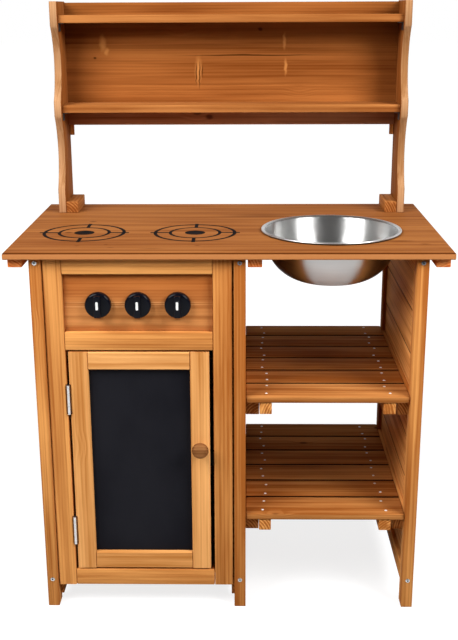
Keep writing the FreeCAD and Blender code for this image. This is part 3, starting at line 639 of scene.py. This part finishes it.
# Worktop: a panel of softwood with a rounded front edge and a hole for the bowl, stained redder than
# the rest. Two hob rings are printed on it in black.
hob_middle_x = -0.151
hob_apart = 0.093
hob_y = -0.056
hob_lines = {"outer": (0.0665, 0.0030), "inner": (0.0415, 0.0028)}
hob_dot = 0.0170
hob_soft = 0.0006
side_tick_half, side_tick_middle, side_tick_reach = 0.0036, 0.0575, 0.0175
end_tick_half, end_tick_middle, end_tick_reach = 0.0030, 0.0570, 0.0170
worktop_low, worktop_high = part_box("worktop")
print_above = worktop_high.z - 0.0005
print_black = (0.006, 0.005, 0.005, 1.0)
# Everything below the top face is painted paler: partly the edges' own grain, partly painted light on the
# front edge.
edge_low, edge_high = worktop_high.z - 0.0035, worktop_high.z - 0.0020
lit_edge_colour = (0.46, 0.180, 0.058, 1.0)
# A thin dark band along the rounded front corner of the top is painted shade.
front_line_high, front_line_half = worktop_high.z - 0.0017, 0.0011
front_line_y = worktop_low.y + 0.0055
front_line_share = 0.9
front_shade_brown = (0.075, 0.016, 0.003, 1.0)
speck_brown = (0.085, 0.018, 0.004, 1.0)
speck_share = 0.5
worktop_pine, top_tree, top_shader, top_grain = pine("worktop_pine", (0.350, 0.130, 0.035, 1.0),
                                                     (0.185, 0.052, 0.012, 1.0))
top_place = object_place(top_tree)
top_split = axes_of(top_tree, top_place)
from_middle = work_out(top_tree, "SUBTRACT", top_split["X"], hob_middle_x)
hob_x = work_out(top_tree, "SUBTRACT", work_out(top_tree, "ABSOLUTE", from_middle), hob_apart)
hob_across = work_out(top_tree, "SUBTRACT", top_split["Y"], hob_y)
hob_vector = add_node(top_tree, "ShaderNodeCombineXYZ", {"X": hob_x, "Y": hob_across}).outputs[0]
hob_radius = work_vector(top_tree, "LENGTH", hob_vector)
wide_x = work_out(top_tree, "ABSOLUTE", hob_x)
wide_y = work_out(top_tree, "ABSOLUTE", hob_across)


def band(value, centre, half):
    """A soft-edged band round a value."""
    away = work_out(top_tree, "ABSOLUTE", work_out(top_tree, "SUBTRACT", value, centre))
    return fade(top_tree, away, half - hob_soft, half + hob_soft, 1.0, 0.0)


print_mask = fade(top_tree, hob_radius, hob_dot - hob_soft, hob_dot + hob_soft, 1.0, 0.0)
for line_radius, half in hob_lines.values():
    print_mask = work_out(top_tree, "MAXIMUM", print_mask, band(hob_radius, line_radius, half))
side_tick = work_out(top_tree, "MULTIPLY", band(wide_y, 0.0, side_tick_half),
                     band(wide_x, side_tick_middle, side_tick_reach))
end_tick = work_out(top_tree, "MULTIPLY", band(wide_x, 0.0, end_tick_half),
                    band(wide_y, end_tick_middle, end_tick_reach))
print_mask = work_out(top_tree, "MAXIMUM", print_mask, work_out(top_tree, "MAXIMUM", side_tick, end_tick))
on_top = work_out(top_tree, "GREATER_THAN", top_split["Z"], print_above)
worn_print = fade(top_tree, noise(top_tree, top_place, (60.0, 420.0, 60.0), 3.0), 0.22, 0.42, 0.80, 1.0)
print_mask = work_out(top_tree, "MULTIPLY", work_out(top_tree, "MULTIPLY", print_mask, on_top), worn_print)
lit_edge_share = fade(top_tree, top_split["Z"], edge_low, edge_high, 1.0, 0.0)
top_colour = mix_colour(top_tree, lit_edge_share, top_grain.outputs["Color"], lit_edge_colour)
front_corner_shade = work_out(top_tree, "MULTIPLY", band(top_split["Z"], front_line_high, front_line_half),
                      work_out(top_tree, "LESS_THAN", top_split["Y"], front_line_y))
front_corner_shade = work_out(top_tree, "MULTIPLY", front_corner_shade, front_line_share)
top_colour = mix_colour(top_tree, front_corner_shade, top_colour, front_shade_brown)
# Marks lie in X and Z, so on the worktop Y takes the place of Z.
top_flat = add_node(top_tree, "ShaderNodeCombineXYZ", {"X": top_split["X"], "Z": top_split["Y"]})
top_specks = (((-0.241, -0.157), (0.006, 0.004), 0.2), ((-0.196, -0.148), (0.005, 0.004), 0.2),
              ((-0.186, -0.170), (0.008, 0.003), 0.2), ((-0.050, -0.155), (0.007, 0.004), 0.2),
              ((0.312, -0.145), (0.012, 0.006), 0.2), ((0.275, -0.123), (0.034, 0.012), 0.0),
              ((-0.120, -0.178), (0.030, 0.004), 0.0), ((0.060, 0.090), (0.120, 0.030), 0.0))
top_colour = paint_marks(top_tree, top_flat.outputs[0], top_colour, top_specks, speck_brown, speck_share)
printed = mix_colour(top_tree, print_mask, top_colour, print_black)
top_tree.links.new(printed, top_shader.inputs["Base Color"])
shaped_piece("worktop", worktop_pine, "X", 0)
# The battens are stained redder, and painted paler still as painted light under the worktop's shadow.
red_lit_pine = pine("red_lit_pine", (0.95, 0.340, 0.100, 1.0), (0.66, 0.140, 0.025, 1.0))[0]
board_piece("worktop_battens", red_lit_pine, "Y", small_ease)

# Bowl: spun from stainless steel sheet, polished inside, with a flat floor, a wide rounded corner and
# a rim that is rolled into a bead. It hangs in the worktop's hole by its rim and lifts out.
low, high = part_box("sink_bowl")
bowl_centre = Vector(((low.x + high.x) / 2, (low.y + high.y) / 2, low.z))
bowl_deep = high.z - low.z
rim_radius = (high.x - low.x) / 2
wall = 0.0012
bead = 0.0022
inner_top = 0.1113
corner = 0.0738
wall_lean = -3.65
corner_centre = (0.03663, wall + corner)
bowl_sides = 120
corner_steps = 28
bead_steps = 14
lip = 0.0002
lip_drop = 0.0042
rim_drop = 0.0028
roll_in = 0.0016
seam_drop = 0.0006
seam_step = 0.0008
rim_start = (inner_top + lip, bowl_deep - rim_drop)
rim_end = (inner_top + wall, bowl_deep - bead - roll_in)
bowl_outline = [(0.0, wall)] + corner_arc(corner_centre, corner, -90.0, wall_lean, corner_steps)
bowl_outline += [(inner_top - lip, bowl_deep - lip_drop), rim_start, rim_end]
bowl_outline += corner_arc(corner_centre, corner + wall, wall_lean, -90.0, corner_steps) + [(0.0, 0.0)]
bead_outline = [rim_start, (inner_top + wall, bowl_deep - roll_in)]
bead_outline += corner_arc((rim_radius - bead, bowl_deep - bead), bead, 115.0, -90.0, bead_steps)
bead_outline += [(rim_radius - bead - roll_in, bowl_deep - bead - seam_drop),
                 (inner_top + wall + seam_step, bowl_deep - bead - seam_drop), rim_end, rim_start]
bm = bmesh.new()
add_spin(bm, bowl_outline, bowl_centre, upward, bowl_sides)
spun_steel, steel_tree, steel = new_material("spun_steel")
steel_place = object_place(steel_tree)
steel_place = work_vector(steel_tree, "SUBTRACT", steel_place, tuple(bowl_centre))
steel_split = axes_of(steel_tree, steel_place)
flat_place = add_node(steel_tree, "ShaderNodeCombineXYZ", {"X": steel_split["X"], "Y": steel_split["Y"]})
steel_radius = work_vector(steel_tree, "LENGTH", flat_place.outputs[0])
spun_place = add_node(steel_tree, "ShaderNodeCombineXYZ", {"X": steel_radius, "Y": steel_split["Z"]})
spun_lines = noise(steel_tree, spun_place.outputs[0], (2400.0, 2400.0, 1.0), 3.0)
steel_cloud = noise(steel_tree, steel_place, (30.0, 30.0, 30.0), 3.0)
steel_colour = mix_colour(steel_tree, spun_lines, (0.56, 0.56, 0.555, 1.0), (0.70, 0.70, 0.69, 1.0))
steel_normal = face_normal(steel_tree)
outward = work_vector(steel_tree, "DOT_PRODUCT", steel_normal, flat_place.outputs[0])
outside = fade(steel_tree, work_out(steel_tree, "DIVIDE", outward, steel_radius), -0.05, 0.05)
# Painted reflection: the outside turns dark grey towards its left and right sides, as the dark wood beside it
# would show.
sideways_share = work_out(steel_tree, "DIVIDE", steel_split["X"], steel_radius)
side_reflection_shade = fade(steel_tree, work_out(steel_tree, "ABSOLUTE", sideways_share), 0.42, 0.66)
side_reflection_shade = work_out(steel_tree, "MULTIPLY", side_reflection_shade, outside)
steel_tree.links.new(mix_colour(steel_tree, side_reflection_shade, steel_colour, (0.28, 0.290, 0.31, 1.0)),
                     steel.inputs["Base Color"])
steel_tree.links.new(fade(steel_tree, steel_cloud, 0.3, 0.7, 0.37, 0.40), steel.inputs["Roughness"])
spun_round = add_node(steel_tree, "ShaderNodeTangent", {}, direction_type="RADIAL", axis="Z").outputs[0]
steel_tree.links.new(spun_round, steel.inputs["Tangent"])
steel.inputs["Anisotropic"].default_value = 1.0
steel.inputs["Anisotropic Rotation"].default_value = 0.25
steel.inputs["Metallic"].default_value = 1.0
finish_piece("sink_bowl_spun", bm, spun_steel, "bowl", ["sink_bowl"])
bm = bmesh.new()
add_spin(bm, bead_outline, bowl_centre, upward, bowl_sides)
rolled_steel, rolled_tree, rolled = metal("rolled_steel", (0.64, 0.64, 0.63, 1.0), smooth=0.28, rough=0.38,
                                          scale=300.0)
rolled_colour = rolled.inputs["Base Color"].links[0].from_socket
rolled_high = axes_of(rolled_tree, object_place(rolled_tree))["Z"]
bead_middle = high.z - bead
seam_shade = fade(rolled_tree, rolled_high, bead_middle - seam_step, bead_middle + seam_drop, 1.0, 0.0)
rolled_tree.links.new(mix_colour(rolled_tree, seam_shade, rolled_colour, (0.03, 0.028, 0.026, 1.0)),
                      rolled.inputs["Base Color"])
finish_piece("sink_bowl_bead", bm, rolled_steel, "bowl", [])

# Open shelves: six slats nailed to two battens, dropped on cleats that are screwed to the panels. Two
# bright nails go through each slat's ends into a batten.
nail_radius = 0.0024
nail_rise = 0.0006
nail_point = 0.0008
nail_deep = 0.004
nail_stray = 0.004
nail_shares = (0.22, 0.78)
nail_sides = 8
nail_crown = 0.7
slat_ease = 0.0018
strip_ease = 0.0008
unshaded_front = 0.004
batten_reach = 0.002
# The slats' tones are given one by one: partly each board's own tone, partly painted shade under the worktop
# and the shelf above.
board_tones.update(upper_shelf_slats=(0.9, 1.9, 1.5, 1.4, 1.0, 0.3),
                   lower_shelf_slats=(1.4, 1.4, 0.8, 0.9, 1.0, 0.9))
slat_pine, slat_tree, slat_shader, slat_grain = pine("slat_pine", (0.58, 0.248, 0.072, 1.0),
                                                     (0.25, 0.072, 0.013, 1.0))
slat_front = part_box("upper_shelf_slats")[0].y
# The slats' side faces, all but the front face of the front slat, are painted near black as painted shade in
# the gaps between slats.
slat_side = axes_of(slat_tree, face_normal(slat_tree))["Y"]
slat_place = axes_of(slat_tree, object_place(slat_tree))["Y"]
gap_shade = fade(slat_tree, work_out(slat_tree, "ABSOLUTE", slat_side), 0.2, 0.6)
gap_shade = work_out(slat_tree, "MULTIPLY", gap_shade,
                     work_out(slat_tree, "GREATER_THAN", slat_place, slat_front + unshaded_front))
slat_colour = mix_colour(slat_tree, gap_shade, slat_grain.outputs["Color"], (0.020, 0.006, 0.002, 1.0))
slat_tree.links.new(slat_colour, slat_shader.inputs["Base Color"])
pale_zinc, _, nail_shader = metal("pale_zinc", (0.86, 0.85, 0.82, 1.0), smooth=0.45, rough=0.60,
                                  scale=plated_speckle)
nail_shader.inputs["Metallic"].default_value = 0.15
nails = bmesh.new()
nail_draw = random.Random(5)
batten_boxes = solids_of("shelf_battens")
for shelf in ("upper", "lower"):
    board_piece(shelf + "_shelf_slats", slat_pine, "X", slat_ease)
    slat_boxes = solids_of(shelf + "_shelf_slats")
    slat_top = slat_boxes[0][1].z
    slat_under = slat_boxes[0][0].z
    shelf_battens = [box for box in batten_boxes if abs(box[1].z - slat_under) < batten_reach]
    for low, high in slat_boxes:
        for batten_low, batten_high in shelf_battens:
            for share in nail_shares:
                nail_x = (batten_low.x + batten_high.x) / 2 + nail_draw.uniform(-nail_stray, nail_stray)
                nail_y = low.y + (high.y - low.y) * share + nail_draw.uniform(-nail_stray, nail_stray)
                spot = Vector((nail_x, nail_y, slat_top))
                root = spot - upward * nail_deep
                crown = spot + upward * nail_rise
                rims = ((root, nail_point), (spot, nail_radius), (crown, nail_radius * nail_crown))
                add_rings(nails, [ring(nails, centre, radius, nail_sides, upward) for centre, radius in rims],
                          True, True)
bmesh.ops.recalc_face_normals(nails, faces=nails.faces)
finish_piece("shelf_nails", nails, pale_zinc, "kitchen", [])
board_piece("shelf_battens", honey_pine, "Y", fine_ease)
board_piece("shelf_cleats", honey_pine, "Y", fine_ease)
board_piece("shelf_side_strips", honey_pine, "Y", strip_ease)

# Hutch: two S-curved uprights, a back of edge-jointed boards on a strip behind each end, two shelves on
# black angle brackets, and foot blocks that hold the uprights to the worktop. The uprights' sawn edges
# are painted much paler than the flanks, partly as less stain, partly as painted light and shade.
hutch_ease = 0.0014
glued_ease = 0.0003
back_strip_ease = 0.0006
end_shade_range = (0.19, 0.30)
top_shade_range = (0.966, 0.972)
low_board_range = (0.800, 0.806)
board_tones.update(hutch_lower_shelf=0.6, hutch_top_shelf=0.3, hutch_left_upright=0.6,
                   hutch_right_upright=1.3, hutch_back_boards=(0.3, 0.4, 0.6))
upright_pine, upright_tree, upright_shader, upright_grain = pine("upright_pine", (0.35, 0.122, 0.031, 1.0),
                                                                 (0.20, 0.056, 0.010, 1.0))
# Paler sawn edges: partly less stain, partly painted light on the edges and painted shade on the flanks.
flank = axes_of(upright_tree, face_normal(upright_tree))["X"]
edge_light_share = fade(upright_tree, work_out(upright_tree, "ABSOLUTE", flank), 0.3, 0.8, 1.0, 0.0)
edge_light_colour = mix_colour(upright_tree, 1.0, upright_grain.outputs["Color"], (1.50, 2.35, 4.60, 1.0),
                         "MULTIPLY")
upright_tree.links.new(mix_colour(upright_tree, edge_light_share, upright_grain.outputs["Color"], edge_light_colour),
                       upright_shader.inputs["Base Color"])
for side in ("left", "right"):
    shaped_piece("hutch_" + side + "_upright", upright_pine, "Z", hutch_ease)
hutch_pine, back_tree, back_shader, back_grain = pine("hutch_pine", (0.37, 0.122, 0.028, 1.0),
                                                      (0.180, 0.046, 0.008, 1.0))
back_place = object_place(back_tree)
back_waver = noise(back_tree, back_place, (9.0, 9.0, 60.0), 3.0, "Color")
back_waver = work_vector(back_tree, "SUBTRACT", back_waver, (0.5, 0.5, 0.5))
back_waver = work_vector(back_tree, "MULTIPLY", back_waver, (0.010, 0.0, 0.006))
back_place = work_vector(back_tree, "ADD", back_place, back_waver)
sap_marks = (((-0.236, 0.924), (0.009, 0.020), 0.2), ((-0.228, 0.910), (0.006, 0.009), 0.2),
             ((0.098, 0.928), (0.004, 0.020), 0.2), ((0.100, 0.882), (0.004, 0.020), 0.2),
             ((-0.060, 0.876), (0.009, 0.034), 0.1))
bark_marks = (((-0.064, 0.870), (0.0015, 0.026), 0.4), ((-0.058, 0.868), (0.0017, 0.032), 0.4),
              ((-0.053, 0.874), (0.0012, 0.016), 0.4), ((0.053, 0.9487), (0.006, 0.0045), 0.3),
              ((-0.250, 0.898), (0.004, 0.003), 0.3), ((-0.040, 0.791), (0.010, 0.006), 0.3),
              ((0.035, 0.9030), (0.160, 0.0021), 0.3))
back_colour = paint_marks(back_tree, back_place, back_grain.outputs["Color"], sap_marks,
                          (0.66, 0.270, 0.070, 1.0), 0.6)
back_colour = paint_marks(back_tree, back_place, back_colour, bark_marks, (0.055, 0.014, 0.004, 1.0), 0.85)
back_split = axes_of(back_tree, back_place)
# Painted shade: the back darkens towards both ends, where the uprights shade it.
end_shade = fade(back_tree, work_out(back_tree, "ABSOLUTE", back_split["X"]), *end_shade_range)
back_colour = mix_colour(back_tree, end_shade, back_colour, (0.74, 0.72, 0.70, 1.0), "MULTIPLY")
# Painted shade: the back above the top shelf is a little darker.
top_shade = fade(back_tree, back_split["Z"], *top_shade_range)
back_colour = mix_colour(back_tree, top_shade, back_colour, (0.90, 0.92, 0.92, 1.0), "MULTIPLY")
# Painted light: the back below the lower shelf is much paler and less red, in the shade under that shelf.
low_board_light = fade(back_tree, back_split["Z"], *low_board_range, 1.0, 0.0)
back_colour = mix_colour(back_tree, low_board_light, back_colour, (2.05, 3.10, 7.20, 1.0), "MULTIPLY")
back_tree.links.new(back_colour, back_shader.inputs["Base Color"])
board_piece("hutch_back_boards", hutch_pine, "X", glued_ease)
board_piece("hutch_back_strips", honey_pine, "Z", back_strip_ease)
amber_pine = pine("amber_pine", (0.48, 0.186, 0.052, 1.0), (0.22, 0.060, 0.011, 1.0))[0]
for shelf in ("lower", "top"):
    board_piece("hutch_" + shelf + "_shelf", amber_pine, "X", hutch_ease)
board_piece("hutch_foot_blocks", amber_pine, "Y", small_ease)
black_metal, _, black_shader = metal("black_metal", (0.020, 0.018, 0.017, 1.0), smooth=0.42, rough=0.60,
                                     scale=260.0)
black_shader.inputs["Metallic"].default_value = 0.0
dress(["hutch_shelf_brackets"], black_metal)

# Studio: a pale floor that runs out of sight, a white backdrop behind the kitchen and a dim room in
# front of it, with one soft box on each side of the camera and a weak one behind.
backdrop_level = 1.0
room_level = 0.05
bounce_level = 0.09
studio = bpy.context.scene
studio.view_settings.view_transform = "Standard"
world = bpy.data.worlds.new("studio")
studio.world = world
world.use_nodes = True
world_tree = world.node_tree
surround = world_tree.nodes["Background"]
seen = add_node(world_tree, "ShaderNodeLightPath", {}).outputs
facing = add_node(world_tree, "ShaderNodeTexCoord", {}).outputs["Generated"]
facing_back = axes_of(world_tree, facing)["Y"]
mirrored = fade(world_tree, facing_back, 0.08, 0.34, room_level, backdrop_level)
level = work_out(world_tree, "MULTIPLY_ADD", seen["Is Glossy Ray"],
                 work_out(world_tree, "SUBTRACT", mirrored, bounce_level), bounce_level)
level = work_out(world_tree, "MAXIMUM", level, work_out(world_tree, "MULTIPLY", seen["Is Camera Ray"],
                                                        backdrop_level))
surround.inputs["Color"].default_value = (1.0, 1.0, 1.0, 1.0)
world_tree.links.new(level, surround.inputs["Strength"])

floor_half = 30.0
floor_glow_near, floor_glow_far = 0.80, 0.98
floor_mesh = bpy.data.meshes.new("floor")
bm = bmesh.new()
bmesh.ops.create_grid(bm, x_segments=1, y_segments=1, size=floor_half)
bm.to_mesh(floor_mesh)
bm.free()
floor = bpy.data.objects.new("floor", floor_mesh)
studio.collection.objects.link(floor)
floor_paint, floor_tree, floor_shader = new_material("floor_paint")
floor_shader.inputs["Base Color"].default_value = (0.30, 0.30, 0.30, 1.0)
floor_shader.inputs["Roughness"].default_value = 0.9
floor_shader.inputs["Specular IOR Level"].default_value = 0.0
floor_seen = add_node(floor_tree, "ShaderNodeLightPath", {}).outputs
floor_shown = work_out(floor_tree, "MAXIMUM", floor_seen["Is Camera Ray"], floor_seen["Is Glossy Ray"])
floor_shader.inputs["Emission Color"].default_value = (1.0, 1.0, 1.0, 1.0)
floor_place = object_place(floor_tree)
floor_away = work_vector(floor_tree, "LENGTH", floor_place)
floor_glow = fade(floor_tree, floor_away, 0.5, 2.6, floor_glow_near, floor_glow_far)
floor_tree.links.new(work_out(floor_tree, "MULTIPLY", floor_shown, floor_glow),
                     floor_shader.inputs["Emission Strength"])
floor_mesh.materials.append(floor_paint)


def soft_box(name, place, aim, width, height, power):
    """A soft box that points at a place."""
    lamp = bpy.data.lights.new(name, "AREA")
    lamp.shape = "RECTANGLE"
    lamp.size = width
    lamp.size_y = height
    lamp.energy = power
    holder = bpy.data.objects.new(name, lamp)
    holder.location = place
    holder.rotation_euler = (Vector(aim) - Vector(place)).to_track_quat("-Z", "Y").to_euler()
    studio.collection.objects.link(holder)
    return holder


lamp_aim = (0.0, 0.0, 0.55)
soft_box("left_box", (-1.267, -1.123, 1.86), lamp_aim, width=1.30, height=1.2, power=57.0)
soft_box("right_box", (1.529, -1.221, 1.94), lamp_aim, width=1.00, height=1.2, power=65.0)
back_fill = soft_box("back_fill", (0.0, 2.3, 1.5), lamp_aim, width=2.2, height=1.6, power=10.0)
back_fill.visible_glossy = False

# Camera: stands in front of the kitchen at the height of the hutch's top and looks down at the worktop.
# It leans a little, as a camera held by hand does.
photo_height = 640
focal_pixels = 1040.2
camera_place = Vector((0.0257, -1.7674, 0.9842))
pitch = math.radians(16.657)
yaw = math.radians(-0.918)
roll = math.radians(-0.230)
ahead = Vector((math.sin(yaw) * math.cos(pitch), math.cos(yaw) * math.cos(pitch), -math.sin(pitch)))
level_right = Vector((math.cos(yaw), -math.sin(yaw), 0.0))
level_up = level_right.cross(ahead)
right = level_right * math.cos(roll) + level_up * math.sin(roll)
up = level_up * math.cos(roll) - level_right * math.sin(roll)
camera_data = bpy.data.cameras.new("camera")
camera_data.sensor_width = 36.0
camera_data.lens = focal_pixels / photo_height * camera_data.sensor_width
camera_data.clip_end = 100.0
camera = bpy.data.objects.new("camera", camera_data)
studio.collection.objects.link(camera)
turn = Matrix((right, up, -ahead)).transposed().to_4x4()
camera.matrix_world = Matrix.Translation(camera_place) @ turn
studio.camera = camera
